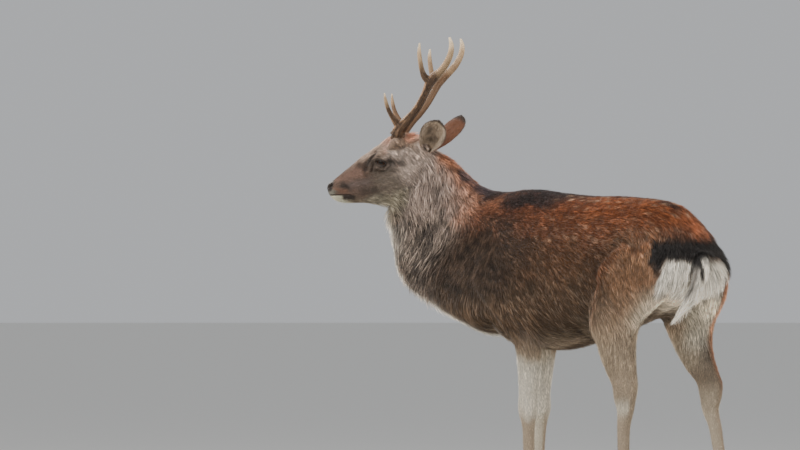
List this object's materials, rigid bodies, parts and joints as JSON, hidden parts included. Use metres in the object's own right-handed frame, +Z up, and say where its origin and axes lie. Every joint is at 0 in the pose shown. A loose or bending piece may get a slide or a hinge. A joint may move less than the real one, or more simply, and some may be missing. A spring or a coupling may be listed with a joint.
{
  "type": "sika deer stag",
  "caption": "Life-size still model of a standing sika stag in winter coat, its head turned to the left, with branched antlers, a thick neck mane and a white rump patch.",
  "frame": {"origin": "middle of the bounding box's footprint, on the floor under the belly", "axes": "+Z up; the body faces -X, its left side is -Y; the head is turned 35 degrees to the left"},
  "size_m": [1.1742, 0.3545, 1.2378],
  "materials": {
    "coat_chestnut": "chestnut winter coat, matte",
    "coat_mane": "grey-brown mane, matte",
    "coat_face": "grey-brown short hair, matte",
    "coat_leg": "fawn short hair, matte",
    "coat_white": "white hair, matte",
    "antler": "brown antler, satin",
    "horn": "black horn, satin",
    "eye": "dark brown, wet gloss"
  },
  "bodies": {
    "root": {"antler_left_base": "antler", "antler_left_beam": "antler", "antler_left_brow_tine": "antler", "antler_left_front_tine": "antler", "antler_left_rear_tine": "antler", "antler_right_base": "antler", "antler_right_beam": "antler", "antler_right_brow_tine": "antler", "antler_right_front_tine": "antler", "antler_right_rear_tine": "antler", "dewclaw_foreleg_left_inner": "horn", "dewclaw_foreleg_left_outer": "horn", "dewclaw_foreleg_right_inner": "horn", "dewclaw_foreleg_right_outer": "horn", "dewclaw_hindleg_left_inner": "horn", "dewclaw_hindleg_left_outer": "horn", "dewclaw_hindleg_right_inner": "horn", "dewclaw_hindleg_right_outer": "horn", "ear_left": "coat_face", "ear_right": "coat_face", "eye_left": "eye", "eye_right": "eye", "foreleg_lower_left": "coat_leg", "foreleg_lower_right": "coat_leg", "foreleg_upper_left": "coat_leg", "foreleg_upper_right": "coat_leg", "head": "coat_face", "hindleg_lower_left": "coat_leg", "hindleg_lower_right": "coat_leg", "hindleg_upper_left": "coat_leg", "hindleg_upper_right": "coat_leg", "hoof_foreleg_left_inner": "horn", "hoof_foreleg_left_outer": "horn", "hoof_foreleg_right_inner": "horn", "hoof_foreleg_right_outer": "horn", "hoof_hindleg_left_inner": "horn", "hoof_hindleg_left_outer": "horn", "hoof_hindleg_right_inner": "horn", "hoof_hindleg_right_outer": "horn", "neck": "coat_mane", "tail": "coat_white", "trunk": "coat_chestnut"}
  },
  "joints": []
}
